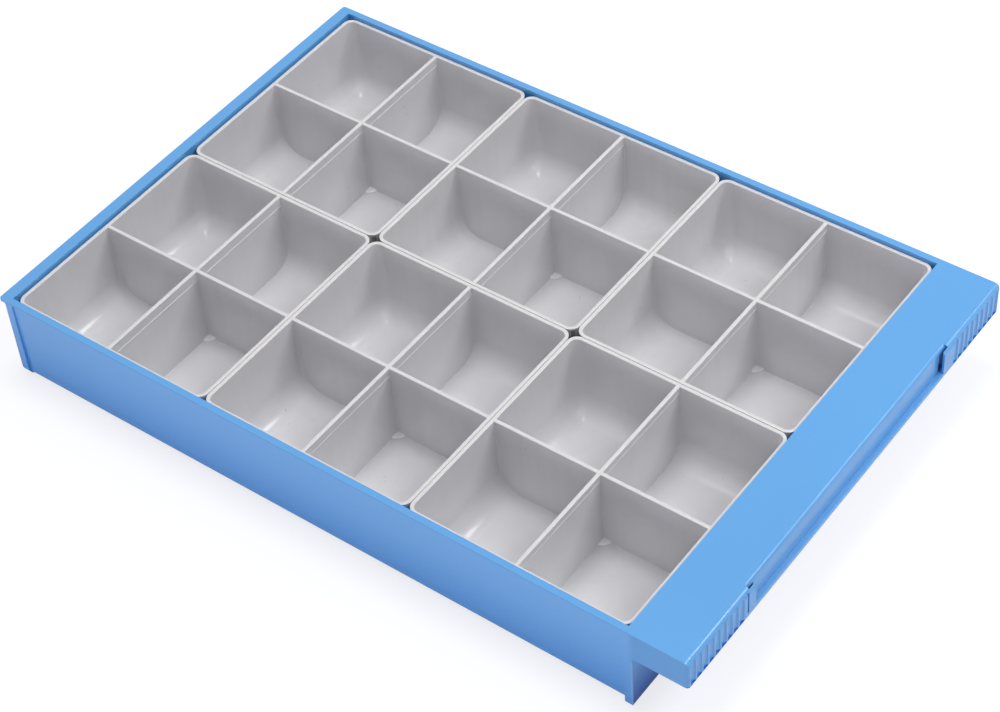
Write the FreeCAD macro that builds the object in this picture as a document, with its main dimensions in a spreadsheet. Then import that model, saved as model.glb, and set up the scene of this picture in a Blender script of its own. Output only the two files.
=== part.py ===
import FreeCAD, Part
import os

# Drawer insert box: a blue moulded tray with a hollow pull handle along its front edge, and six
# grey boxes that drop into it, three along the depth and two across, each split into four
# compartments by a cross-shaped divider. Millimetres. X runs across the tray, Y from the handle
# to the rear, Z up, and the origin is the middle of the footprint, on the surface it stands on.

doc = FreeCAD.newDocument("DrawerInsertBox")

COLUMNS = ("left", "right")
ROWS = ("front", "middle", "rear")

# How near a place counts as the same, and how far from an edge's ends its middle surely is
SAME_PLACE = 0.01
EDGE_MARGIN = 1.0

SIZES = {
    # The boxes: outside size at the rim, the gap between neighbours, the play in the tray
    "box_width": 145.5,
    "box_depth": 133.8,
    "box_gap": 0.3,
    "box_clearance": 0.4,
    "rear_clearance": 1.0,
    "box_drop": 2.35,
    "box_wall": 2.1,
    "box_floor": 2.3,
    "box_draft": 1.6,
    "box_corner": 6.2,
    "floor_radius": 13.0,
    "divider_top": 2.25,
    "divider_draft": 0.3,
    "foot_height": 1.5,
    "foot_width": 2.0,
    "foot_margin": 1.5,
    "gate_radius": 7.0,
    "gate_height": 1.0,
    "gate_bevel": 0.6,
    # The tray: rim widths, walls, floor, and the panels that lie back from the rim and posts
    "tray_height": 57.8,
    "tray_floor": 2.4,
    "side_rim": 3.95,
    "rear_rim": 6.85,
    "rim_band": 1.2,
    "flange_thickness": 1.8,
    "flange_corner_radius": 1.5,
    "end_wall": 2.65,
    "front_shelf": 1.1,
    "post_length": 4.8,
    "front_foot_radius": 3.2,
    "front_wall_radius": 3.2,
    "panel_recess_top": 0.8,
    "panel_recess_bottom": 1.5,
    "bottom_radius": 6.3,
    # The handle: how far it stands out, its plate, skirts and rounded edges
    "handle_reach": 35.85,
    "plate_thickness": 2.6,
    "skirt_depth": 19.3,
    "skirt_wall": 2.6,
    "front_block": 5.6,
    "front_edge_radius": 3.6,
    "front_corner_radius": 2.0,
    "lower_edge_radius": 1.0,
    "lip_height": 3.3,
    # The flutes at each end of the handle's front
    "flute_pitch": 5.275,
    "flute_inset": 4.5,
    "flute_radius": 2.8,
    "flute_foot": 1.0,
    "flute_depth_top": 0.7,
    "flute_depth_foot": 1.0,
    # The label channel between the handle's two end blocks, and the tabs that hold a label in it
    "end_block": 59.2,
    "label_recess": 2.8,
    "label_edge_radius": 1.8,
    "tab_length": 4.8,
    "tab_thickness": 1.2,
    "tab_groove": 1.3,
    "tab_groove_depth": 0.7,
    "tab_groove_offset": 6.3,
    "window_length": 6.0,
    "window_margin": 0.5,
    # How far a block that only cuts runs past what it cuts
    "overrun": 10.0,
}


def make_sheet():
    sheet = doc.addObject("Spreadsheet::Sheet", "Sizes")
    for row, (name, size) in enumerate(SIZES.items(), start=1):
        sheet.set(f"A{row}", name)
        sheet.set(f"B{row}", str(size))
        sheet.setAlias(f"B{row}", name)
    doc.recompute()
    return sheet


sheet = make_sheet()


def of_sheet(formula):
    """The formula with each size's name replaced by its place in the sheet."""
    words = []
    word = ""
    for mark in formula + " ":
        if mark.isalnum() or mark in "_.":
            word += mark
            continue
        words.append(f"Sizes.{word}" if word in SIZES else word)
        words.append(mark)
        word = ""
    return "".join(words).strip()


def number(formula):
    """The value of a formula, for choosing edges and for radii that are set on edges."""
    result = sheet.evalExpression(of_sheet(formula))
    return float(getattr(result, "Value", result))


# Places that several pieces share, as formulas of the sizes
OPENING_WIDTH = "(2 * box_width + box_gap + 2 * box_clearance)"
OPENING_LENGTH = "(3 * box_depth + 2 * box_gap + box_clearance + rear_clearance)"
HALF_OPENING = f"({OPENING_WIDTH} / 2)"
HALF_WIDTH = f"({HALF_OPENING} + side_rim)"
FRONT = f"(-(handle_reach + {OPENING_LENGTH} + rear_rim) / 2)"
OPENING_FRONT = f"({FRONT} + handle_reach)"
OPENING_REAR = f"({OPENING_FRONT} + {OPENING_LENGTH})"
REAR = f"({OPENING_REAR} + rear_rim)"
FRONT_WALL_INSIDE = f"({OPENING_FRONT} - front_shelf)"
FRONT_WALL_FACE = f"({FRONT_WALL_INSIDE} - end_wall)"
REAR_WALL_FACE = f"({OPENING_REAR} + end_wall)"
SKIRT_BOTTOM = "(tray_height - skirt_depth)"
LIP_TOP = f"({SKIRT_BOTTOM} + lip_height)"
BOX_TOP = "(tray_height - box_drop)"
BOX_UNDERSIDE = "(tray_floor + foot_height)"
BOX_FLOOR_TOP = f"({BOX_UNDERSIDE} + box_floor)"
ABOVE = "(tray_height + overrun)"
TAB_END = f"({HALF_WIDTH} - end_block)"
LABEL_END = f"({TAB_END} + tab_length)"
GROOVE_START = f"({TAB_END} + tab_groove_offset)"
GROOVE_END = f"({GROOVE_START} + tab_groove)"


# The axis of a turned piece: the formula that is bound to its angle sets how far it turns
ABOUT_X = FreeCAD.Vector(1, 0, 0)
ABOUT_Y = FreeCAD.Vector(0, 1, 0)


def bind(feature, sizes):
    for name, formula in sizes.items():
        feature.setExpression(name, of_sheet(str(formula)))


def block(name, x, y, z):
    """A straight block between two formulas on each axis."""
    feature = doc.addObject("Part::Box", name)
    bind(feature, {
        "Length": f"{x[1]} - {x[0]}",
        "Width": f"{y[1]} - {y[0]}",
        "Height": f"{z[1]} - {z[0]}",
        "Placement.Base.x": x[0],
        "Placement.Base.y": y[0],
        "Placement.Base.z": z[0],
    })
    return feature


def tapered(name, x, y, z, lean_x, lean_y):
    """A block that is as large as x and y say at its top, and whose low and high sides in X and
    in Y have leant in by lean_x and lean_y at its bottom."""
    feature = doc.addObject("Part::Wedge", name)
    bind(feature, {
        "Ymin": "0",
        "Ymax": f"{z[1]} - {z[0]}",
        "Xmin": f"{x[0]} + {lean_x[0]}",
        "Xmax": f"{x[1]} - {lean_x[1]}",
        "X2min": x[0],
        "X2max": x[1],
        "Zmin": f"{lean_y[1]} - {y[1]}",
        "Zmax": f"-({y[0]} + {lean_y[0]})",
        "Z2min": f"-{y[1]}",
        "Z2max": f"-{y[0]}",
        "Placement.Base.z": z[0],
        "Placement.Rotation.Angle": "90",
    })
    feature.Placement.Rotation = FreeCAD.Rotation(ABOUT_X, 90)
    return feature


def joined(name, features):
    feature = doc.addObject("Part::MultiFuse", name)
    feature.Shapes = features
    feature.Refine = True
    return feature


def without(name, base, tool):
    feature = doc.addObject("Part::Cut", name)
    feature.Base = base
    feature.Tool = tool
    feature.Refine = True
    return feature


def edges_where(shape, test):
    """Numbers of the edges whose middle point passes the test."""
    return [i for i, edge in enumerate(shape.Edges, start=1)
            if test(edge.valueAt((edge.FirstParameter + edge.LastParameter) / 2))]


def rounded(name, base, rounds):
    """Rounds edges of base: each entry is a test of an edge's middle point, and a radius or the
    radii at the edge's upper and lower ends."""
    doc.recompute()
    picked = []
    for test, radius in rounds:
        upper, lower = radius if isinstance(radius, tuple) else (radius, radius)
        for i in edges_where(base.Shape, test):
            edge = base.Shape.Edges[i - 1]
            starts_low = edge.valueAt(edge.FirstParameter).z < edge.valueAt(edge.LastParameter).z
            ends = (lower, upper) if starts_low else (upper, lower)
            picked.append((i, number(ends[0]), number(ends[1])))
    feature = doc.addObject("Part::Fillet", name)
    feature.Base = base
    feature.Edges = picked
    return feature


def near(value, formula):
    return abs(value - number(formula)) < SAME_PLACE


# The tray


def tray_shell():
    """Outside of the walls and floor, with side panels that lie back from the rim."""
    shell = tapered(
        "tray_shell",
        (f"-({HALF_WIDTH} - panel_recess_top)", f"({HALF_WIDTH} - panel_recess_top)"),
        (FRONT_WALL_FACE, REAR_WALL_FACE), ("0", "tray_height"),
        ("(panel_recess_bottom - panel_recess_top)",) * 2, ("0", "0"))
    foot = f"{HALF_WIDTH} - panel_recess_bottom"
    return rounded("tray_shell_rounded", shell, [
        (lambda p: near(p.z, "0") and near(abs(p.x), foot), "bottom_radius"),
        (lambda p: near(p.z, "0") and near(p.y, FRONT_WALL_FACE), "front_wall_radius")])


def corner_post(side, end):
    """A flush strip on the side wall at one of the four corners. The rear ones are rounded at
    the foot as widely as the panels, and the front ones reach almost down to the ground."""
    inside = f"({HALF_WIDTH} - 2 * bottom_radius)"
    x = (f"-{HALF_WIDTH}", f"-{inside}") if side < 0 else (inside, HALF_WIDTH)
    y = ((FRONT_WALL_FACE, f"({FRONT_WALL_FACE} + post_length)") if end < 0
         else (f"({REAR_WALL_FACE} - post_length)", REAR_WALL_FACE))
    name = f"post_{'left' if side < 0 else 'right'}_{'front' if end < 0 else 'rear'}"
    post = block(name, x, y, ("0", "tray_height"))
    foot_radius = "front_foot_radius" if end < 0 else "(bottom_radius + panel_recess_bottom)"
    reach = number(HALF_WIDTH)
    rounds = [(lambda p: near(p.z, "0") and abs(abs(p.x) - reach) < SAME_PLACE, foot_radius)]
    if end < 0:
        rounds.append((lambda p: near(p.z, "0") and near(p.y, FRONT_WALL_FACE),
                       "front_wall_radius"))
    return rounded(name + "_rounded", post, rounds)


def side_rim(side):
    """The band along the top of one side wall, flush with the posts."""
    x = (f"-{HALF_WIDTH}", f"-{HALF_OPENING}") if side < 0 else (HALF_OPENING, HALF_WIDTH)
    return block(f"rim_{'left' if side < 0 else 'right'}", x, (OPENING_FRONT, OPENING_REAR),
                 ("(tray_height - rim_band)", "tray_height"))


def rear_flange():
    """The flange along the rear, with rounded corners."""
    flange = block("rear_flange", (f"-{HALF_WIDTH}", HALF_WIDTH),
                   (f"({REAR_WALL_FACE} - end_wall)", REAR),
                   ("(tray_height - flange_thickness)", "tray_height"))
    return rounded("rear_flange_rounded", flange, [
        (lambda p: near(p.y, REAR) and near(abs(p.x), HALF_WIDTH), "flange_corner_radius")])


def handle_end(side):
    """The outside of one end of the handle, as far in as the end of the tab."""
    x = (f"-{HALF_WIDTH}", f"-{TAB_END}") if side < 0 else (TAB_END, HALF_WIDTH)
    name = f"handle_{'left' if side < 0 else 'right'}"
    end = block(name, x, (FRONT, OPENING_FRONT), (SKIRT_BOTTOM, "tray_height"))
    return rounded(name + "_rounded", end, [
        (lambda p: near(p.z, "tray_height") and near(p.y, FRONT), "front_edge_radius"),
        (lambda p: near(p.y, FRONT) and near(abs(p.x), HALF_WIDTH), "front_corner_radius"),
        (lambda p: near(p.z, SKIRT_BOTTOM) and near(p.y, FRONT), "lower_edge_radius"),
        (lambda p: near(p.z, SKIRT_BOTTOM) and near(abs(p.x), HALF_WIDTH),
         "lower_edge_radius")])


def handle_middle():
    """The handle between its ends, set back to the label channel's rear wall."""
    middle = block("handle_middle", (f"-{TAB_END}", TAB_END),
                   (f"({FRONT} + label_recess)", OPENING_FRONT), (SKIRT_BOTTOM, "tray_height"))
    return rounded("handle_middle_rounded", middle, [
        (lambda p: near(p.z, "tray_height") and near(p.y, f"{FRONT} + label_recess"),
         "label_edge_radius")])


def handle_lip():
    """The shelf between the handle's ends, which a label stands on."""
    lip = block("handle_lip", (f"-{TAB_END}", TAB_END),
                (FRONT, f"({FRONT} + front_block)"), (SKIRT_BOTTOM, LIP_TOP))
    return rounded("handle_lip_rounded", lip, [
        (lambda p: near(p.z, SKIRT_BOTTOM) and near(p.y, FRONT), "lower_edge_radius")])


def tray_interior():
    """The space for the boxes, with the front wall set forward of the opening's edge."""
    opening = block("opening", (f"-{HALF_OPENING}", HALF_OPENING), (OPENING_FRONT, OPENING_REAR),
                    ("tray_floor", ABOVE))
    under_plate = block("under_plate", (f"-{HALF_OPENING}", HALF_OPENING),
                        (FRONT_WALL_INSIDE, OPENING_FRONT),
                        ("tray_floor", "(tray_height - plate_thickness)"))
    return [opening, under_plate]


def handle_hollow():
    """The finger space under the handle, open below."""
    return block("handle_hollow",
                 (f"-({HALF_WIDTH} - skirt_wall)", f"({HALF_WIDTH} - skirt_wall)"),
                 (f"({FRONT} + front_block)", FRONT_WALL_FACE),
                 (f"({SKIRT_BOTTOM} - overrun)", "(tray_height - plate_thickness)"))


def label_slot(side):
    """The slot behind the tab at one end of the label channel. Its rear wall is rounded over at
    the top, as the channel's is: what is cut is a slab and the corner above the rounding."""
    x = (f"-{LABEL_END}", f"-{TAB_END}") if side < 0 else (TAB_END, LABEL_END)
    name = f"slot_{'left' if side < 0 else 'right'}"
    rear = f"({FRONT} + label_recess)"
    slab = block(name + "_slab", x, (f"({FRONT} + tab_thickness)", rear), (LIP_TOP, ABOVE))
    corner = block(name + "_corner", x, (rear, f"({rear} + label_edge_radius)"),
                   ("(tray_height - label_edge_radius)", ABOVE))
    round_edge = doc.addObject("Part::Cylinder", name + "_round")
    bind(round_edge, {
        "Radius": "label_edge_radius",
        "Height": f"{x[1]} - {x[0]}",
        "Placement.Base.x": x[0],
        "Placement.Base.y": f"{rear} + label_edge_radius",
        "Placement.Base.z": "tray_height - label_edge_radius",
        "Placement.Rotation.Angle": "90",
    })
    round_edge.Placement.Rotation = FreeCAD.Rotation(ABOUT_Y, 90)
    return [slab, without(name + "_edge", corner, round_edge)]


def tab_groove():
    """The shallow upright groove beside the left tab."""
    return block("tab_groove", (f"-{GROOVE_END}", f"-{GROOVE_START}"),
                 (f"({FRONT} - overrun)", f"({FRONT} + tab_groove_depth)"), (LIP_TOP, ABOVE))


def tab_window(side):
    """The opening behind a tab, through to the hollow handle."""
    x = ((f"-{LABEL_END}", f"(window_length - {LABEL_END})") if side < 0
         else (f"({LABEL_END} - window_length)", LABEL_END))
    return block(f"window_{'left' if side < 0 else 'right'}", x,
                 (f"({FRONT} + tab_thickness)", f"({FRONT} + front_block + overrun)"),
                 (f"({LIP_TOP} + window_margin)",
                  "(tray_height - plate_thickness - window_margin)"))


def flute(side, count):
    """A groove that deepens from the rounded edge down to a foot just above the lower edge."""
    feature = doc.addObject("Part::Cylinder", f"flute_{'left' if side < 0 else 'right'}_{count}")
    rise = "(skirt_depth - flute_foot)"
    bind(feature, {
        "Radius": "flute_radius",
        "Height": f"{rise} + overrun",
        "Placement.Base.x": f"{side} * ({HALF_WIDTH} - flute_inset - {count} * flute_pitch)",
        "Placement.Base.y": f"{FRONT} + flute_depth_foot - flute_radius",
        "Placement.Base.z": f"{SKIRT_BOTTOM} + flute_foot",
        "Placement.Rotation.Angle": f"atan((flute_depth_foot - flute_depth_top) / {rise})",
    })
    feature.Placement.Rotation = FreeCAD.Rotation(ABOUT_X, 1)
    return feature


def flutes_per_end():
    """As many flutes as fit between the handle's end and the tab's groove."""
    return int(number(f"({HALF_WIDTH} - flute_inset - {GROOVE_END}) / flute_pitch")) + 1


def build_tray():
    posts = [corner_post(side, end) for side in (-1, 1) for end in (-1, 1)]
    rims = [side_rim(side) for side in (-1, 1)]
    handle = [handle_end(-1), handle_middle(), handle_end(1), handle_lip()]
    outside = joined("tray_outside", [tray_shell(), rear_flange()] + posts + rims + handle)
    flutes = [flute(side, count) for side in (-1, 1) for count in range(flutes_per_end())]
    windows = [tab_window(side) for side in (-1, 1)]
    slots = label_slot(-1) + label_slot(1)
    spaces = joined("tray_spaces", tray_interior() + [handle_hollow(), tab_groove()] + slots
                    + windows + flutes)
    tray = without("tray", outside, spaces)
    tray.Label = "tray"
    return tray


# The boxes


def box_outside(name, x, y):
    """Rounded, drafted outside of a box, with a wide radius where the walls meet the floor."""
    lean = ("box_draft",) * 2
    solid = tapered(f"{name}_outside", x, y, (BOX_UNDERSIDE, BOX_TOP), lean, lean)
    outer_floor_radius = "(floor_radius + box_wall)"
    return rounded(f"{name}_outside_rounded", solid, [
        (lambda p: number(BOX_UNDERSIDE) + EDGE_MARGIN < p.z < number(BOX_TOP) - EDGE_MARGIN,
         ("box_corner", outer_floor_radius)),
        (lambda p: near(p.z, BOX_UNDERSIDE), outer_floor_radius)])


def compartment(name, x, y, side_x, side_y):
    """The space of one of a box's four compartments: plain where it meets the divider, and
    rounded where it meets the box's outer walls."""
    middle_x = f"(({x[0]} + {x[1]}) / 2)"
    middle_y = f"(({y[0]} + {y[1]}) / 2)"
    out_x = (f"({x[0]} + box_wall)", f"({middle_x} - divider_top / 2)")
    out_y = (f"({y[0]} + box_wall)", f"({middle_y} - divider_top / 2)")
    lean_x = ("box_draft", "divider_draft")
    lean_y = ("box_draft", "divider_draft")
    if side_x > 0:
        out_x = (f"({middle_x} + divider_top / 2)", f"({x[1]} - box_wall)")
        lean_x = lean_x[::-1]
    if side_y > 0:
        out_y = (f"({middle_y} + divider_top / 2)", f"({y[1]} - box_wall)")
        lean_y = lean_y[::-1]
    corner = f"{name}_space_{'left' if side_x < 0 else 'right'}_{'front' if side_y < 0 else 'rear'}"
    solid = tapered(corner, out_x, out_y, (BOX_FLOOR_TOP, BOX_TOP), lean_x, lean_y)
    middle = (number(middle_x), number(middle_y))
    reach = (number("box_width / 2 - box_wall - box_draft") - EDGE_MARGIN,
             number("box_depth / 2 - box_wall - box_draft") - EDGE_MARGIN)
    low = number(BOX_FLOOR_TOP)
    high = number(BOX_TOP)

    def is_corner(p):
        return (low + EDGE_MARGIN < p.z < high - EDGE_MARGIN
                and abs(p.x - middle[0]) > reach[0] and abs(p.y - middle[1]) > reach[1])

    def is_outer_foot(p):
        return (abs(p.z - low) < SAME_PLACE
                and (abs(p.x - middle[0]) > reach[0] or abs(p.y - middle[1]) > reach[1]))

    return rounded(corner + "_rounded", solid, [
        (is_corner, ("(box_corner - box_wall)", "floor_radius")),
        (is_outer_foot, "floor_radius")])


def foot_ring(name, x, y):
    """The low ring that the box stands on, inside the rounded edge of its underside."""
    inset = "(box_draft + floor_radius + box_wall + foot_margin)"
    outer_x = (f"({x[0]} + {inset})", f"({x[1]} - {inset})")
    outer_y = (f"({y[0]} + {inset})", f"({y[1]} - {inset})")
    inner_x = (f"({x[0]} + {inset} + foot_width)", f"({x[1]} - {inset} - foot_width)")
    inner_y = (f"({y[0]} + {inset} + foot_width)", f"({y[1]} - {inset} - foot_width)")
    outer = block(f"{name}_foot_outer", outer_x, outer_y, ("tray_floor", BOX_UNDERSIDE))
    inner = block(f"{name}_foot_inner", inner_x, inner_y, ("(tray_floor - overrun)", BOX_UNDERSIDE))
    return without(f"{name}_foot", outer, inner)


def gate_disc(name, x, y):
    """The low bevelled disc on the floor under the middle of the divider."""
    disc = doc.addObject("Part::Cone", f"{name}_gate")
    bind(disc, {
        "Radius1": "gate_radius",
        "Radius2": "gate_radius - gate_bevel",
        "Height": "gate_height",
        "Placement.Base.x": f"({x[0]} + {x[1]}) / 2",
        "Placement.Base.y": f"({y[0]} + {y[1]}) / 2",
        "Placement.Base.z": BOX_FLOOR_TOP,
    })
    return disc


def build_box(column, row):
    """One box, drafted and rounded, with its four compartments cut from the solid."""
    name = f"box_{ROWS[row]}_{COLUMNS[column]}"
    left = f"(-{HALF_OPENING} + box_clearance + {column} * (box_width + box_gap))"
    front = f"({OPENING_FRONT} + box_clearance + {row} * (box_depth + box_gap))"
    x = (left, f"({left} + box_width)")
    y = (front, f"({front} + box_depth)")
    spaces = joined(f"{name}_spaces", [compartment(name, x, y, side_x, side_y)
                                       for side_x in (-1, 1) for side_y in (-1, 1)])
    hollow = without(f"{name}_hollow", box_outside(name, x, y), spaces)
    box = joined(name, [hollow, foot_ring(name, x, y), gate_disc(name, x, y)])
    box.Label = name
    return box


pieces = [build_tray()]
for column in range(len(COLUMNS)):
    for row in range(len(ROWS)):
        pieces.append(build_box(column, row))
doc.recompute()

for feature in doc.Objects:
    if "Invalid" in feature.State or "Error" in feature.State:
        raise RuntimeError(f"{feature.Label} failed: {feature.State}")
for piece in pieces:
    if piece.Shape.isNull() or not piece.Shape.isValid() or len(piece.Shape.Solids) != 1:
        raise RuntimeError(f"{piece.Label} isn't one valid solid")

os.makedirs("parts", exist_ok=True)
for piece in pieces:
    piece.Shape.exportStep(f"parts/{piece.Label}.step")
    print(piece.Label, round(piece.Shape.Volume), "mm3", piece.Shape.BoundBox)
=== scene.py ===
import math

import bmesh
import bpy
from mathutils import Matrix, Vector


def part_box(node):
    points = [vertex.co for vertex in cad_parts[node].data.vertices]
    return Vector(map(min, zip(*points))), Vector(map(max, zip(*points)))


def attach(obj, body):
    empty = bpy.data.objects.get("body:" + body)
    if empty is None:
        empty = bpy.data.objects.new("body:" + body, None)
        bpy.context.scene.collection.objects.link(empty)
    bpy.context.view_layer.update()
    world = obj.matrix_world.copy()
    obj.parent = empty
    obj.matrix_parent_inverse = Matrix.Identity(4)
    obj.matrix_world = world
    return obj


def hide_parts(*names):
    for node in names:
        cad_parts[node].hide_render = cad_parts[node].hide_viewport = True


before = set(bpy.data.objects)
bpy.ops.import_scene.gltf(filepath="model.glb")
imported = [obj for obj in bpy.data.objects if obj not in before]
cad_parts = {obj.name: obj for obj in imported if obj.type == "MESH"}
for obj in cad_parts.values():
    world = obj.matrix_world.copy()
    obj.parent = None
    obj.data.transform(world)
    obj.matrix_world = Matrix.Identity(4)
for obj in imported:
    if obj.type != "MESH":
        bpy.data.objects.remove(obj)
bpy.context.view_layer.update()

# A drawer tray with six insert boxes, as it lies in the photograph. Metres, in the CAD frame: the
# pull handle is at -Y, Z is up, and the tray stands on z = 0.

MM = 0.001

# How far below its rim each box's divider has the fine ledge across its front face, in mm
LEDGES = {"box_front_left": 4.0, "box_front_right": 4.6, "box_middle_left": 5.0,
          "box_middle_right": 5.4, "box_rear_left": 5.9, "box_rear_right": 5.2}

# The boxes, in mm, as they were moulded
WALL = 2.1
FLOOR = 2.3
DRAFT = 1.6
CORNER = 6.2
FLOOR_RADIUS = 13.0
LOW_CORNER = 10.0
DIVIDER_TOP = 2.25
DIVIDER_DRAFT = 0.3
FOOT_HEIGHT = 1.5
FOOT_WIDTH = 2.0
FOOT_MARGIN = 1.5
GATE_RADIUS = 7.0
GATE_HEIGHT = 1.0
GATE_BEVEL = 0.6

# Small roundings and steps of the boxes, in mm
RIM_INSIDE = 0.4
RIM_OUTSIDE = 0.15
INNER_CORNER = 0.4
WALL_CORNER = 0.8
WALL_CORNER_DEPTH = 12.0
LEDGE_STEP = 0.25
SMALLEST_RADIUS = 0.05
SAME_LEVEL = 0.001

# How finely the boxes are drawn
CORNER_STEPS = 10
SMALL_STEPS = 3
RIM_STEPS = 3
WALL_STEPS = 5
FILLET_ANGLES = (8, 16, 24, 32, 40, 48, 56, 64, 70, 76, 80, 84, 87, 90)
GATE_STEPS = 48
GATE_RISE_STEPS = 5
GATE_SLOPE = 62

# Edge rounding of the tray, and the distances at which the CAD mesh is cleaned before it
TRAY_EDGE = 0.0006
SAME_POINT = 0.000005
FLAT_ANGLE = math.radians(0.5)
SHARP_ANGLE = math.radians(34)
EDGE_SEGMENTS = 3

# The photograph's viewpoint
CAMERA_PLACE = (-0.7317, -0.60875, 0.9865)
CAMERA_AZIMUTH = -50.298
CAMERA_ELEVATION = 45.794
CAMERA_ROLL = -4.792
LENS_MM = 89.44

# The sky: its light overhead and half way up, and near the horizon, where it is stronger towards
# the left and the rear, and how high in the sky one gives way to the next
SKY_HIGH = 0.49
SKY_MIDDLE = 0.12
SKY_LOW = 0.95
SKY_LOW_TO_RIGHT = -0.45
SKY_LOW_TO_REAR = 0.75
LOW_TO_MIDDLE = (0.16, 0.26)
MIDDLE_TO_HIGH = (0.5, 0.7)
AMBIENT = (1.01, 0.98, 1.06, 1.0)
WHITE = (1.0, 1.0, 1.0, 1.0)

# Softboxes, in metres and watts: place, the point it faces, width, height, power
LAMPS = {"overhead": ((0.05, 0.1, 1.9), (0, 0, 0), 0.7, 0.7, 11.9),
         "front": ((0.2, -1.2, 1.45), (0, 0, 0), 0.5, 0.5, 3.9),
         "right": ((0.9, -0.95, 1.42), (0.6, 0, 0), 1.1, 0.47, 11.0),
         "left": ((-1.15, -0.85, 1.25), (0, 0, 0), 0.15, 0.15, 1.5)}

# The floor, in metres: its size and place, what it throws back at the object, what is seen of its
# shading, how much of that is seen in mirroring surfaces, and its own glow, which grows to white
# between two distances
FLOOR_HALF = 4.0
FLOOR_LEVEL = -0.0001
FLOOR_BOUNCE = (0.86, 0.87, 0.95, 1.0)
FLOOR_SHADING = (0.32, 0.32, 0.32, 1.0)
FLOOR_MIRRORED = 0.15
FLOOR_GLOW = 0.74
GLOW_TO_WHITE = (0.9, 2.2)

# The plastics' own colours, and the colours painted on them as shade and highlights
BLUE = (0.112, 0.378, 0.755)
GREY = (0.682, 0.684, 0.696)
RUBBED_GREY = (0.7, 0.695, 0.69, 1.0)
# The gate disc's pale colour: partly a real witness mark, partly a painted highlight
GATE_HIGHLIGHT_GREY = (0.87, 0.87, 0.88, 1.0)
# Painted shade in the small holes where four boxes meet
HOLE_SHADE_GREY = (0.02, 0.02, 0.025, 1.0)
SPECK_BROWN = (0.23, 0.17, 0.13, 1.0)
RUBBED_BLUE = (0.2, 0.47, 0.84, 1.0)
# Painted shade at the flutes' feet and along the handle's lower edge
HANDLE_SHADE_BLUE = (0.004, 0.15, 0.6, 1.0)
# Painted shade in the windows behind the tabs, and a painted shadow at the front wall's foot
PAINTED_SHADOW_BLUE = (0.004, 0.012, 0.08, 1.0)
# A painted highlight on the front posts' outer edges
POST_HIGHLIGHT_BLUE = (0.24, 0.5, 0.86, 1.0)
# Painted shade on the front wall under the handle, darker towards its foot
UNDER_HANDLE_SHADE_BLUE = (0.015, 0.11, 0.48, 1.0)
# The sides: lighter towards the top as a painted reflection of the floor, darker towards the foot
# as painted shade
SIDE_LIT_BLUE = (0.176, 0.48, 0.91, 1.0)
SIDE_SHADED_BLUE = (0.08, 0.33, 0.76, 1.0)

# The patterns' scales, per metre
BOX_CLOUDS = 11.0
BOX_FLOW = 160.0
BOX_SPECKS = 420.0
BOX_SPECK_PATCHES = 23.0
BOX_SCUFFS = 700.0
BOX_GLOSS = 18.0
BOX_GRAIN = 1100.0
TRAY_CLOUDS = 8.0
TRAY_SCUFFS = 900.0
TRAY_GLOSS = 14.0
TRAY_GRAIN = 1000.0

# How detailed the patterns are, and how the flow lines and scuffs are drawn out along one axis
CLOUD_DETAIL = 3.0
FINE_DETAIL = 2.0
SPECK_DETAIL = 1.0
BOX_FLOW_RUN = (1.0, 1.0, 0.06)
BOX_SCUFF_RUN = (1.0, 0.12, 1.0)
TRAY_SCUFF_RUN = (1.0, 0.1, 1.0)

# The parts of the patterns' ranges that show, and how strongly they do
MIDDLE_OF_RANGE = (0.3, 0.7)
BOX_CLOUD_SHADES = (0.975, 1.02)
TRAY_CLOUD_SHADES = (0.97, 1.02)
FLOW_RANGE = (0.42, 0.7)
FLOW_STRENGTH = 0.4
FLOW_SHADE = 0.95
FLOW_HEIGHT = 0.5
SPECK_RANGE = (0.74, 0.79)
SPECK_PATCH_RANGE = (0.6, 0.68)
SPECK_STRENGTH = 0.35
BOX_SCUFF_RANGE = (0.6, 0.75)
BOX_SCUFF_DULLNESS = 0.05
TRAY_SCUFF_RANGE = (0.5, 0.75)
TRAY_SCUFF_STRENGTH = 0.05
TRAY_SCUFF_DULLNESS = 0.012
GRAIN_STRENGTH = 0.06
GRAIN_DEPTH = 0.0002

# How rough the plastics are, from their glossiest places to their dullest, how much smoother the
# gate marks are, and how rough the places painted in shade are
BOX_ROUGHNESS = (0.16, 0.21)
GATE_POLISH = 0.05
TRAY_ROUGHNESS = (0.2, 0.25)
DEEP_ROUGHNESS = 0.9

# Where the marks on the boxes are, in metres: the places along Y where four boxes meet and half
# the width of the holes there, how far the boxes' middles lie to the left and right, and the spans
# over which a mark begins or ends. The strength of the painted shade in the holes is a share
BOX_CROSSINGS = (-0.05285, 0.08125)
HOLE = 0.003
HOLE_EDGE = 0.0002
HOLE_TOP = (0.0535, 0.0545)
HOLE_SHADE_SHARE = 0.5
BOX_MIDDLE = 0.0729
GATE_EDGE = (0.0064, 0.0069)
GATE_TOP = (0.0075, 0.008)
BOX_RIM = (0.0547, 0.0553)

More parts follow.
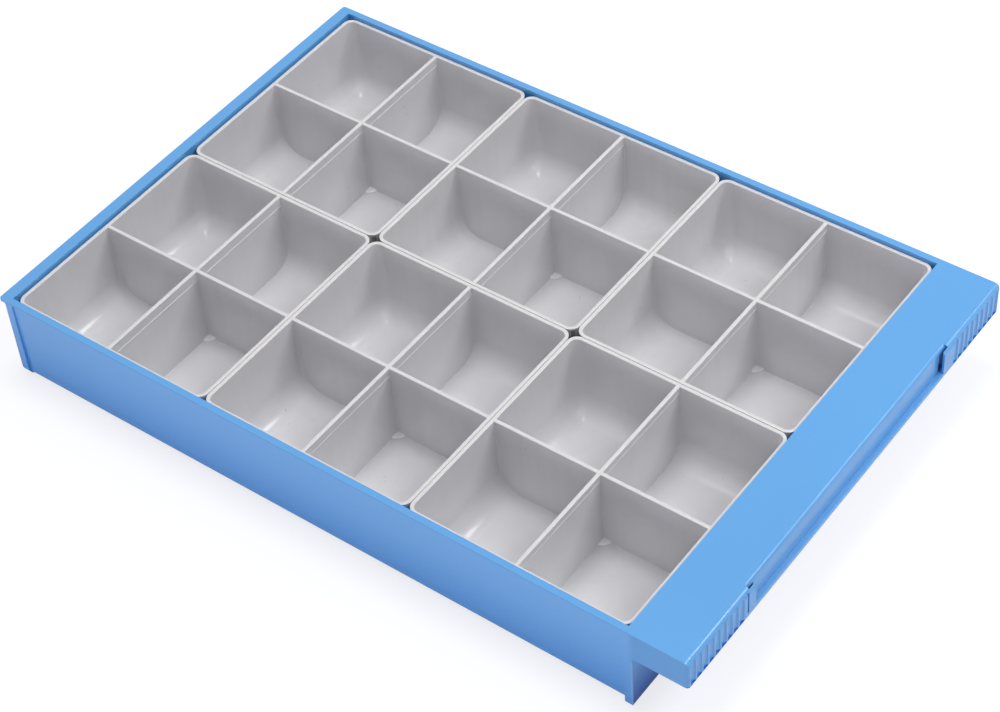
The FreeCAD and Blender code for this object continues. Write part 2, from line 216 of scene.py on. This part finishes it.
# Where the marks on the tray are, in metres. Strengths of painted shade and highlight, and the
# sides' plain share, are shares
TRAY_TOP = (0.0565, 0.0575)
FLUTE_FACE = (-0.2229, -0.2219)
FLUTE_FOOT = (0.0396, 0.0404)
HANDLE_FRONT = (-0.2217, -0.2215)
HANDLE_LOWER_EDGE = (0.039, 0.0394)
LOWER_EDGE_SHADE = 0.6
SIDE_FACE = (0.148, 0.1482)
SIDE_START = (-0.192, -0.188)
SIDE_TOP = (0.0568, 0.0574)
SIDE_LIGHT_SPAN = (0.004, 0.052)
SIDE_PLAIN_SHARE = 0.25
WINDOW_ACROSS = (0.0897, 0.0953)
WINDOW_DEEP = (-0.2212, -0.195)
WINDOW_HIGH = (0.0425, 0.0548)
WINDOW_EDGE = 0.0005
FRONT_WALL = (-0.1912, -0.1906)
WALL_FOOT = (0.002, 0.0035)
WALL_SHADE = (0.0, 0.032)
POST_EDGE = (0.1491, 0.1496)
POST_FRONT = (-0.1911, -0.1904)
POST_FRONT_EDGE = 0.0003
POST_TOP = (0.034, 0.038)
POST_HIGHLIGHT_SHARE = 0.6
FACE_EDGE = 0.0002


def add_object(name, data):
    obj = bpy.data.objects.new(name, data)
    bpy.context.scene.collection.objects.link(obj)
    return obj


def shade_smooth(mesh):
    for polygon in mesh.polygons:
        polygon.use_smooth = True


# The boxes


def round_loop(bm, low, high, radii, steps, z):
    """Vertices round a rectangle, with a radius and a number of steps for each corner."""
    corners = ((low[0], low[1], 180), (high[0], low[1], 270), (high[0], high[1], 0),
               (low[0], high[1], 90))
    middle = ((low[0] + high[0]) / 2, (low[1] + high[1]) / 2)
    loop = []
    for (x, y, start), radius, count in zip(corners, radii, steps):
        centre_x = x + math.copysign(radius, middle[0] - x)
        centre_y = y + math.copysign(radius, middle[1] - y)
        for step in range(count + 1):
            angle = math.radians(start + 90 * step / count)
            point = (centre_x + radius * math.cos(angle), centre_y + radius * math.sin(angle), z)
            loop.append(bm.verts.new(Vector(point) * MM))
    return loop


def skin(bm, loops):
    """Faces between neighbouring loops of equal length."""
    for upper, lower in zip(loops, loops[1:]):
        count = len(upper)
        for i in range(count):
            after = (i + 1) % count
            bm.faces.new((upper[i], upper[after], lower[after], lower[i]))


def loop_edges(bm, loop):
    return [bm.edges.get((loop[i], loop[(i + 1) % len(loop)])) for i in range(len(loop))]


def fillet_levels(depth, radius):
    """Levels of the rounding between walls and floor: how far down, and how far in."""
    angles = [math.radians(angle) for angle in FILLET_ANGLES]
    return [(depth - radius * (1 - math.sin(angle)), radius * (1 - math.cos(angle)))
            for angle in angles]


def pocket_stations(depth, ledge):
    """Levels of a compartment from the rim to the floor: how far down, how far in from the box's
    outer edge, the outer corner's radius, the divider's half width, the same at the ledge's face,
    and the radii of the corners where divider meets divider and where it meets the wall."""
    stations = []
    for step in range(RIM_STEPS + 1):
        angle = math.pi / 2 * step / RIM_STEPS
        out = RIM_INSIDE * (1 - math.sin(angle))
        half = DIVIDER_TOP / 2 - out
        stations.append((RIM_INSIDE * (1 - math.cos(angle)), WALL - out,
                         CORNER - WALL + out, half, half, INNER_CORNER + out,
                         INNER_CORNER + out))
    straight = depth - FLOOR_RADIUS
    drops = [RIM_INSIDE + (straight - RIM_INSIDE) * step / WALL_STEPS
             for step in range(1, WALL_STEPS + 1)]
    drops = sorted(drops + [ledge, ledge + LEDGE_STEP])
    levels = [(drop, 0.0) for drop in drops]
    for drop, inward in levels + fillet_levels(depth, FLOOR_RADIUS):
        share = drop / depth
        above = depth - drop
        foot = 0.0
        if above < INNER_CORNER:
            foot = INNER_CORNER - math.sqrt(INNER_CORNER ** 2 - (INNER_CORNER - above) ** 2)
        corner = CORNER - WALL + (LOW_CORNER - CORNER + WALL) * share - inward
        half = DIVIDER_TOP / 2 + DIVIDER_DRAFT * share + foot
        faced = half + (LEDGE_STEP if drop > ledge + LEDGE_STEP / 2 else 0.0)
        widened = min(drop / WALL_CORNER_DEPTH, 1.0) * (WALL_CORNER - INNER_CORNER)
        stations.append((drop, WALL + DRAFT * share + inward, max(corner, SMALLEST_RADIUS), half,
                         faced, INNER_CORNER, INNER_CORNER + widened))
    return stations


def pocket(bm, low, high, top, side_x, side_y, stations, ledge):
    """One compartment; returns its loop at the rim."""
    middle = ((low[0] + high[0]) / 2, (low[1] + high[1]) / 2)
    outer = {(-1, -1): 0, (1, -1): 1, (1, 1): 2, (-1, 1): 3}[(side_x, side_y)]
    crossing = (outer + 2) % 4
    loops = []
    for drop, inset, corner, half, faced, small, beside in stations:
        across = faced if side_y < 0 else half
        x = ((low[0] + inset, middle[0] - half) if side_x < 0
             else (middle[0] + half, high[0] - inset))
        y = ((low[1] + inset, middle[1] - across) if side_y < 0
             else (middle[1] + across, high[1] - inset))
        radii = [beside] * 4
        radii[outer] = corner
        radii[crossing] = small
        steps = [CORNER_STEPS if index == outer else SMALL_STEPS for index in range(4)]
        loops.append(round_loop(bm, (x[0], y[0]), (x[1], y[1]), radii, steps, top - drop))
    skin(bm, loops)
    bm.faces.new(loops[-1])
    if side_y < 0:
        for station, loop in zip(stations, loops):
            if ledge - SAME_LEVEL < station[0] < ledge + LEDGE_STEP + SAME_LEVEL:
                for edge in loop_edges(bm, loop):
                    edge.smooth = False
    return loops[0]


def outside(bm, low, high, top, underside):
    """The outer faces and underside of a box; returns the loop at the rim."""
    height = top - underside
    radius = FLOOR_RADIUS + WALL
    stations = []
    for step in range(RIM_STEPS + 1):
        angle = math.pi / 2 * step / RIM_STEPS
        inset = RIM_OUTSIDE * (1 - math.sin(angle))
        stations.append((RIM_OUTSIDE * (1 - math.cos(angle)), inset, CORNER - inset))
    for drop, inward in [(height - radius, 0.0)] + fillet_levels(height, radius):
        share = drop / height
        corner = CORNER + (radius - CORNER) * share - inward
        stations.append((drop, DRAFT * share + inward, max(corner, SMALLEST_RADIUS)))
    loops = [round_loop(bm, (low[0] + inset, low[1] + inset), (high[0] - inset, high[1] - inset),
                        [corner] * 4, [CORNER_STEPS] * 4, top - drop)
             for drop, inset, corner in stations]
    skin(bm, loops)
    bm.faces.new(loops[-1])
    return loops[0]


def foot_ring(bm, low, high, bottom, underside):
    """The low ring that a box stands on."""
    inset = DRAFT + FLOOR_RADIUS + WALL + FOOT_MARGIN
    loops = []
    for step, z in ((0.0, underside + SMALLEST_RADIUS), (0.0, bottom), (FOOT_WIDTH, bottom),
                    (FOOT_WIDTH, underside + SMALLEST_RADIUS)):
        at = inset + step
        loops.append(round_loop(bm, (low[0] + at, low[1] + at), (high[0] - at, high[1] - at),
                                [INNER_CORNER] * 4, [SMALL_STEPS] * 4, z))
    skin(bm, loops + loops[:1])


def gate_disc(bm, middle, floor):
    """The low bevelled disc under the divider's crossing."""
    profile = [(GATE_RADIUS, -SMALLEST_RADIUS)]
    for step in range(GATE_RISE_STEPS + 1):
        angle = math.radians(GATE_SLOPE) * step / GATE_RISE_STEPS
        inward = GATE_BEVEL * math.sin(angle) / math.sin(math.radians(GATE_SLOPE))
        drop = GATE_HEIGHT * (1 - math.cos(angle)) / (1 - math.cos(math.radians(GATE_SLOPE)))
        profile.insert(1, (GATE_RADIUS - 2 * GATE_BEVEL + inward * 2, GATE_HEIGHT - drop))
    loops = []
    for radius, height in profile:
        loop = []
        for step in range(GATE_STEPS):
            angle = 2 * math.pi * step / GATE_STEPS
            point = (middle[0] + radius * math.cos(angle), middle[1] + radius * math.sin(angle),
                     floor + height)
            loop.append(bm.verts.new(Vector(point) * MM))
        loops.append(loop)
    skin(bm, loops)
    bm.faces.new(loops[0])
    bm.faces.new(loops[-1])


def make_box(name):
    """One insert box with its four compartments, in the place of its CAD node."""
    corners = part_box(name)
    low = [corners[0][axis] / MM for axis in range(3)]
    high = [corners[1][axis] / MM for axis in range(3)]
    top = high[2]
    underside = low[2] + FOOT_HEIGHT
    floor = underside + FLOOR
    bm = bmesh.new()
    stations = pocket_stations(top - floor, LEDGES[name])
    rims = [pocket(bm, low, high, top, side_x, side_y, stations, LEDGES[name])
            for side_x in (-1, 1) for side_y in (-1, 1)]
    rims.append(outside(bm, low, high, top, underside))
    edges = [edge for rim in rims for edge in loop_edges(bm, rim)]
    bmesh.ops.triangle_fill(bm, use_beauty=True, use_dissolve=False, edges=edges)
    bmesh.ops.recalc_face_normals(bm, faces=bm.faces[:])
    body_faces = set(bm.faces)
    foot_ring(bm, low, high, low[2], underside)
    gate_disc(bm, ((low[0] + high[0]) / 2, (low[1] + high[1]) / 2), floor)
    bmesh.ops.recalc_face_normals(bm, faces=[f for f in bm.faces if f not in body_faces])
    mesh = bpy.data.meshes.new(name + "_moulding")
    bm.to_mesh(mesh)
    bm.free()
    shade_smooth(mesh)
    box = add_object(name + "_moulding", mesh)
    box.modifiers.new("normals", "WEIGHTED_NORMAL").keep_sharp = True
    return box


# The tray


def round_edges(obj, width):
    """Rounds the sharp edges of a moulding, after joining the CAD mesh's split vertices."""
    weld = obj.modifiers.new("weld", "WELD")
    weld.merge_threshold = SAME_POINT
    flat = obj.modifiers.new("flat", "DECIMATE")
    flat.decimate_type = "DISSOLVE"
    flat.angle_limit = FLAT_ANGLE
    bevel = obj.modifiers.new("edges", "BEVEL")
    bevel.width = width
    bevel.segments = EDGE_SEGMENTS
    bevel.limit_method = "ANGLE"
    bevel.angle_limit = SHARP_ANGLE
    bevel.use_clamp_overlap = True
    obj.modifiers.new("normals", "WEIGHTED_NORMAL")
    shade_smooth(obj.data)


# The materials


class Nodes:
    """Short calls for building a material's or the world's node tree."""

    def __init__(self, tree):
        self.tree = tree
        tree.nodes.clear()

    def add(self, kind, settings=None, **inputs):
        node = self.tree.nodes.new(kind)
        for name, value in (settings or {}).items():
            setattr(node, name, value)
        for name, value in inputs.items():
            self.put(node.inputs[name.replace("_", " ")], value)
        return node

    def put(self, socket, value):
        if isinstance(value, bpy.types.NodeSocket):
            self.tree.links.new(value, socket)
        else:
            socket.default_value = value

    def math(self, operation, *values):
        node = self.tree.nodes.new("ShaderNodeMath")
        node.operation = operation
        for socket, value in zip(node.inputs, values):
            self.put(socket, value)
        return node.outputs[0]

    def stretched(self, place, scales):
        node = self.add("ShaderNodeMapping", Vector=place, Scale=scales)
        return node.outputs["Vector"]

    def noise(self, place, scale, detail=FINE_DETAIL):
        node = self.add("ShaderNodeTexNoise", Vector=place, Scale=scale, Detail=detail)
        return node.outputs["Fac"]

    def product(self, *values):
        result = values[0]
        for value in values[1:]:
            result = self.math("MULTIPLY", result, value)
        return result

    def largest(self, *values):
        result = values[0]
        for value in values[1:]:
            result = self.math("MAXIMUM", result, value)
        return result

    def ranged(self, value, span, low, high):
        """The value's range over the span, taken to low to high, and held there outside."""
        node = self.tree.nodes.new("ShaderNodeMapRange")
        for name, setting in (("Value", value), ("From Min", span[0]), ("From Max", span[1]),
                              ("To Min", low), ("To Max", high)):
            self.put(node.inputs[name], setting)
        return node.outputs[0]

    def fade_in(self, value, span, full=1.0):
        """None up to the span's start, and full from its end."""
        return self.ranged(value, span, 0.0, full)

    def fade_out(self, value, span, full=1.0):
        """Full up to the span's start, and none from its end."""
        return self.ranged(value, span, full, 0.0)

    def within(self, value, span, edge):
        """One inside the span, and none beyond an edge outside it."""
        return self.product(self.fade_in(value, (span[0] - edge, span[0])),
                            self.fade_out(value, (span[1], span[1] + edge)))

    def blend(self, share, first, second):
        node = self.add("ShaderNodeMix", {"data_type": "RGBA"})
        colour_sockets = [s for s in node.inputs if s.type == "RGBA"]
        self.put(node.inputs["Factor"], share)
        self.put(colour_sockets[0], first)
        self.put(colour_sockets[1], second)
        return [s for s in node.outputs if s.type == "RGBA"][0]

    def finish(self, colour, roughness, height):
        bump = self.add("ShaderNodeBump", Strength=GRAIN_STRENGTH, Distance=GRAIN_DEPTH,
                        Height=height)
        shader = self.add("ShaderNodeBsdfPrincipled", Base_Color=colour, Roughness=roughness,
                          Normal=bump.outputs["Normal"])
        self.add("ShaderNodeOutputMaterial", Surface=shader.outputs[0])


def shade(colour, factor):
    return tuple(min(1.0, channel * factor) for channel in colour) + (1.0,)


def clouded(nodes, place, scale, colour, shades):
    """A colour with faint clouds, between two shades of it."""
    clouds = nodes.fade_in(nodes.noise(place, scale, CLOUD_DETAIL), MIDDLE_OF_RANGE)
    return nodes.blend(clouds, shade(colour, shades[0]), shade(colour, shades[1]))


def start_material(name):
    material = bpy.data.materials.new(name)
    material.use_nodes = True
    nodes = Nodes(material.node_tree)
    place = nodes.add("ShaderNodeTexCoord").outputs["Object"]
    return material, nodes, place


def corner_hole_shade(nodes, parts):
    """The painted shade on the boxes' corners, in the small holes where four boxes meet."""
    across = nodes.within(parts.outputs["X"], (-HOLE, HOLE), HOLE_EDGE)
    lengths = [nodes.within(parts.outputs["Y"], (y - HOLE, y + HOLE), HOLE_EDGE)
               for y in BOX_CROSSINGS]
    below = nodes.fade_out(parts.outputs["Z"], HOLE_TOP, HOLE_SHADE_SHARE)
    return nodes.product(across, nodes.largest(*lengths), below)


def gate_marks(nodes, parts):
    """The low disc under each box's crossing, where the plastic entered the mould."""
    across = nodes.math("SUBTRACT", nodes.math("ABSOLUTE", parts.outputs["X"]), BOX_MIDDLE)
    first = BOX_CROSSINGS[0]
    pitch = BOX_CROSSINGS[1] - BOX_CROSSINGS[0]
    wrapped = nodes.math("WRAP", parts.outputs["Y"], first + pitch, first)
    along = nodes.math("SUBTRACT", wrapped, first + pitch / 2)
    away = nodes.math("SQRT", nodes.math("ADD", nodes.product(across, across),
                                         nodes.product(along, along)))
    return nodes.product(nodes.fade_out(away, GATE_EDGE),
                         nodes.fade_out(parts.outputs["Z"], GATE_TOP))


def specks(nodes, place):
    """Sparse specks of dirt, in patches."""
    dots = nodes.noise(place, BOX_SPECKS, SPECK_DETAIL)
    patches = nodes.noise(place, BOX_SPECK_PATCHES, SPECK_DETAIL)
    return nodes.product(nodes.fade_in(dots, SPECK_RANGE),
                         nodes.fade_in(patches, SPECK_PATCH_RANGE, SPECK_STRENGTH))


def grey_plastic():
    """The boxes: faint clouds and upright flow lines in the colour, rims rubbed a little paler,
    painted shade on the corners where boxes meet, a gate mark polished and painted pale, partly as
    a painted highlight, sparse specks of dirt, and uneven gloss with fine scuffs."""
    material, nodes, place = start_material("grey_plastic")
    parts = nodes.add("ShaderNodeSeparateXYZ", Vector=place)
    flow = nodes.noise(nodes.stretched(place, BOX_FLOW_RUN), BOX_FLOW)
    colour = clouded(nodes, place, BOX_CLOUDS, GREY, BOX_CLOUD_SHADES)
    colour = nodes.blend(nodes.fade_in(flow, FLOW_RANGE, FLOW_STRENGTH), colour,
                         shade(GREY, FLOW_SHADE))
    colour = nodes.blend(nodes.fade_in(parts.outputs["Z"], BOX_RIM), colour, RUBBED_GREY)
    # painted shade in the holes where four boxes meet
    colour = nodes.blend(corner_hole_shade(nodes, parts), colour, HOLE_SHADE_GREY)
    # the gate disc painted pale, partly its witness mark and partly a painted highlight, and made
    # smoother
    gate_mark_and_highlight = gate_marks(nodes, parts)
    colour = nodes.blend(gate_mark_and_highlight, colour, GATE_HIGHLIGHT_GREY)
    colour = nodes.blend(specks(nodes, place), colour, SPECK_BROWN)
    scuffs = nodes.noise(nodes.stretched(place, BOX_SCUFF_RUN), BOX_SCUFFS)
    gloss = nodes.ranged(nodes.noise(place, BOX_GLOSS), MIDDLE_OF_RANGE, *BOX_ROUGHNESS)
    scuffed = nodes.math("ADD", gloss, nodes.fade_in(scuffs, BOX_SCUFF_RANGE, BOX_SCUFF_DULLNESS))
    roughness = nodes.math("SUBTRACT", scuffed, nodes.product(gate_mark_and_highlight, GATE_POLISH))
    grain = nodes.noise(place, BOX_GRAIN)
    nodes.finish(colour, roughness, nodes.math("ADD", grain, nodes.product(flow, FLOW_HEIGHT)))
    return material


def sides_painted_light(nodes, parts, colour):
    """The outer sides, painted lighter towards the top as a reflection of the floor and darker
    towards the foot as shade.
    """
    height = parts.outputs["Z"]
    outside = nodes.fade_in(nodes.math("ABSOLUTE", parts.outputs["X"]), SIDE_FACE)
    behind_handle = nodes.fade_in(parts.outputs["Y"], SIDE_START)
    below_rim = nodes.fade_out(height, SIDE_TOP)
    side = nodes.blend(nodes.fade_in(height, SIDE_LIGHT_SPAN), SIDE_SHADED_BLUE, SIDE_LIT_BLUE)
    painted_side = nodes.blend(SIDE_PLAIN_SHARE, side, colour)
    return nodes.blend(nodes.product(outside, behind_handle, below_rim), colour, painted_side)


def handle_painted_shade(nodes, parts):
    """Painted shade at the feet of the flutes and along the handle's lower edge."""
    feet = nodes.product(nodes.fade_out(parts.outputs["Z"], FLUTE_FOOT),
                         nodes.within(parts.outputs["Y"], FLUTE_FACE, FACE_EDGE))
    lower_edge = nodes.product(
        nodes.fade_out(parts.outputs["Z"], HANDLE_LOWER_EDGE, LOWER_EDGE_SHADE),
        nodes.fade_out(parts.outputs["Y"], HANDLE_FRONT))
    return nodes.largest(feet, lower_edge)


def tab_window_shade(nodes, parts):
    """Painted shade in the windows behind the tabs of the label channel."""
    across = nodes.within(nodes.math("ABSOLUTE", parts.outputs["X"]), WINDOW_ACROSS, WINDOW_EDGE)
    deep = nodes.within(parts.outputs["Y"], WINDOW_DEEP, WINDOW_EDGE)
    high = nodes.within(parts.outputs["Z"], WINDOW_HIGH, WINDOW_EDGE)
    return nodes.product(across, deep, high)


def post_edge_highlights(nodes, parts):
    """A painted highlight along the front posts' outer edges."""
    edge = nodes.fade_in(nodes.math("ABSOLUTE", parts.outputs["X"]), POST_EDGE, POST_HIGHLIGHT_SHARE)
    front = nodes.within(parts.outputs["Y"], POST_FRONT, POST_FRONT_EDGE)
    return nodes.product(edge, front, nodes.fade_out(parts.outputs["Z"], POST_TOP))


def blue_plastic():
    """The tray: faint clouds in the colour, fine scuffs on top, and painted light and shade: sides
    lighter at the top and darker at the foot, shade on the handle's front, in the windows behind
    the tabs and on the front wall with a shadow at its foot, and highlights on the posts' edges."""
    material, nodes, place = start_material("blue_plastic")
    parts = nodes.add("ShaderNodeSeparateXYZ", Vector=place)
    height = parts.outputs["Z"]
    colour = clouded(nodes, place, TRAY_CLOUDS, BLUE, TRAY_CLOUD_SHADES)
    scuffs = nodes.noise(nodes.stretched(place, TRAY_SCUFF_RUN), TRAY_SCUFFS)
    rubbed = nodes.product(nodes.fade_in(scuffs, TRAY_SCUFF_RANGE, TRAY_SCUFF_STRENGTH),
                           nodes.fade_in(height, TRAY_TOP))
    colour = nodes.blend(rubbed, colour, RUBBED_BLUE)
    # painted reflection and shade on the outer sides
    colour = sides_painted_light(nodes, parts, colour)
    # painted shade at the flutes' feet and along the handle's lower edge
    colour = nodes.blend(handle_painted_shade(nodes, parts), colour, HANDLE_SHADE_BLUE)
    front_wall = nodes.within(parts.outputs["Y"], FRONT_WALL, FACE_EDGE)
    # painted shade on the front wall under the handle
    under_handle_shade = nodes.product(front_wall, nodes.fade_out(height, WALL_SHADE))
    colour = nodes.blend(under_handle_shade, colour, UNDER_HANDLE_SHADE_BLUE)
    # a painted shadow along the front wall's foot, and painted shade in the tab windows
    foot = nodes.product(front_wall, nodes.fade_out(height, WALL_FOOT))
    deep = nodes.largest(tab_window_shade(nodes, parts), foot)
    colour = nodes.blend(deep, colour, PAINTED_SHADOW_BLUE)
    # a painted highlight on the front posts' outer edges
    colour = nodes.blend(post_edge_highlights(nodes, parts), colour, POST_HIGHLIGHT_BLUE)
    gloss = nodes.ranged(nodes.noise(place, TRAY_GLOSS), MIDDLE_OF_RANGE, *TRAY_ROUGHNESS)
    scuffed = nodes.math("ADD", gloss, nodes.fade_in(scuffs, TRAY_SCUFF_RANGE, TRAY_SCUFF_DULLNESS))
    roughness = nodes.largest(scuffed, nodes.product(deep, DEEP_ROUGHNESS))
    nodes.finish(colour, roughness, nodes.noise(place, TRAY_GRAIN))
    return material


# Light, camera and ground


def make_camera():
    """The camera at the photograph's place, turned by its azimuth, elevation and roll."""
    azimuth = math.radians(CAMERA_AZIMUTH)
    elevation = math.radians(CAMERA_ELEVATION)
    roll = math.radians(CAMERA_ROLL)
    back = Vector((math.sin(azimuth) * math.cos(elevation),
                   -math.cos(azimuth) * math.cos(elevation), math.sin(elevation)))
    level = Vector((math.cos(azimuth), math.sin(azimuth), 0))
    upright = back.cross(level)
    right = level * math.cos(roll) + upright * math.sin(roll)
    up = upright * math.cos(roll) - level * math.sin(roll)
    camera = add_object("camera", bpy.data.cameras.new("camera"))
    camera.data.lens = LENS_MM
    turn = Matrix((right, up, back)).transposed().to_4x4()
    camera.matrix_world = Matrix.Translation(CAMERA_PLACE) @ turn
    bpy.context.scene.camera = camera


def make_world():
    """White behind everything, and a weaker light from all round."""
    world = bpy.data.worlds.new("world")
    bpy.context.scene.world = world
    world.use_nodes = True
    nodes = Nodes(world.node_tree)
    direction = nodes.add("ShaderNodeTexCoord").outputs["Generated"]
    parts = nodes.add("ShaderNodeSeparateXYZ", Vector=direction)
    rise = parts.outputs["Z"]
    path = nodes.add("ShaderNodeLightPath")
    seen = nodes.largest(path.outputs["Is Camera Ray"], path.outputs["Is Glossy Ray"],
                         path.outputs["Is Transmission Ray"])
    sides = nodes.math("ADD", nodes.product(parts.outputs["X"], SKY_LOW_TO_RIGHT),
                       nodes.product(parts.outputs["Y"], SKY_LOW_TO_REAR))
    low = nodes.math("ADD", sides, SKY_LOW)
    lower = nodes.ranged(rise, LOW_TO_MIDDLE, low, SKY_MIDDLE)
    ambient = nodes.ranged(rise, MIDDLE_TO_HIGH, lower, SKY_HIGH)
    strength = nodes.ranged(seen, (0.0, 1.0), ambient, 1.0)
    colour = nodes.blend(seen, AMBIENT, WHITE)
    background = nodes.add("ShaderNodeBackground", Color=colour, Strength=strength)
    nodes.add("ShaderNodeOutputWorld", Surface=background.outputs[0])


def make_lamp(name, place, aim, width, height, power):
    lamp = add_object(name, bpy.data.lights.new(name, "AREA"))
    lamp.data.shape = "ELLIPSE"
    lamp.data.size = width
    lamp.data.size_y = height
    lamp.data.energy = power
    lamp.location = place
    lamp.rotation_euler = (Vector(aim) - Vector(place)).to_track_quat("-Z", "Y").to_euler()


def floor_material():
    """A pale floor that looks white and keeps a faint shadow, and that lights the sides. What
    mirrors it sees more of the shadow."""
    material = bpy.data.materials.new("floor")
    material.use_nodes = True
    nodes = Nodes(material.node_tree)
    path = nodes.add("ShaderNodeLightPath")
    seen = nodes.largest(path.outputs["Is Camera Ray"], path.outputs["Is Transmission Ray"])
    mirrored = nodes.product(path.outputs["Is Glossy Ray"], FLOOR_MIRRORED)
    bounce = nodes.add("ShaderNodeBsdfDiffuse", Color=FLOOR_BOUNCE)
    shading = nodes.add("ShaderNodeBsdfDiffuse", Color=FLOOR_SHADING)
    place = nodes.add("ShaderNodeTexCoord").outputs["Object"]
    away = nodes.add("ShaderNodeVectorMath", {"operation": "LENGTH"}, Vector=place)
    strength = nodes.ranged(away.outputs["Value"], GLOW_TO_WHITE, FLOOR_GLOW, 1.0)
    glow = nodes.add("ShaderNodeEmission", Color=WHITE, Strength=strength)
    shown = nodes.add("ShaderNodeAddShader")
    nodes.put(shown.inputs[0], shading.outputs[0])
    nodes.put(shown.inputs[1], glow.outputs[0])
    mixed = nodes.add("ShaderNodeMixShader", Fac=nodes.largest(seen, mirrored))
    nodes.put(mixed.inputs[1], bounce.outputs[0])
    nodes.put(mixed.inputs[2], shown.outputs[0])
    nodes.add("ShaderNodeOutputMaterial", Surface=mixed.outputs[0])
    return material


def make_floor():
    mesh = bpy.data.meshes.new("floor")
    half = FLOOR_HALF
    level = FLOOR_LEVEL
    mesh.from_pydata([(-half, -half, level), (half, -half, level), (half, half, level),
                      (-half, half, level)], [], [(0, 1, 2, 3)])
    floor = add_object("floor", mesh)
    mesh.materials.append(floor_material())


def finish_pieces():
    blue = blue_plastic()
    grey = grey_plastic()
    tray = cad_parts["tray"]
    tray.data.materials.clear()
    tray.data.materials.append(blue)
    round_edges(tray, TRAY_EDGE)
    for name in LEDGES:
        box = make_box(name)
        box.data.materials.append(grey)
        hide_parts(name)
        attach(box, name)


finish_pieces()
make_camera()
make_world()
make_floor()
for name, settings in LAMPS.items():
    make_lamp(name, *settings)
bpy.context.scene.view_settings.view_transform = "Standard"
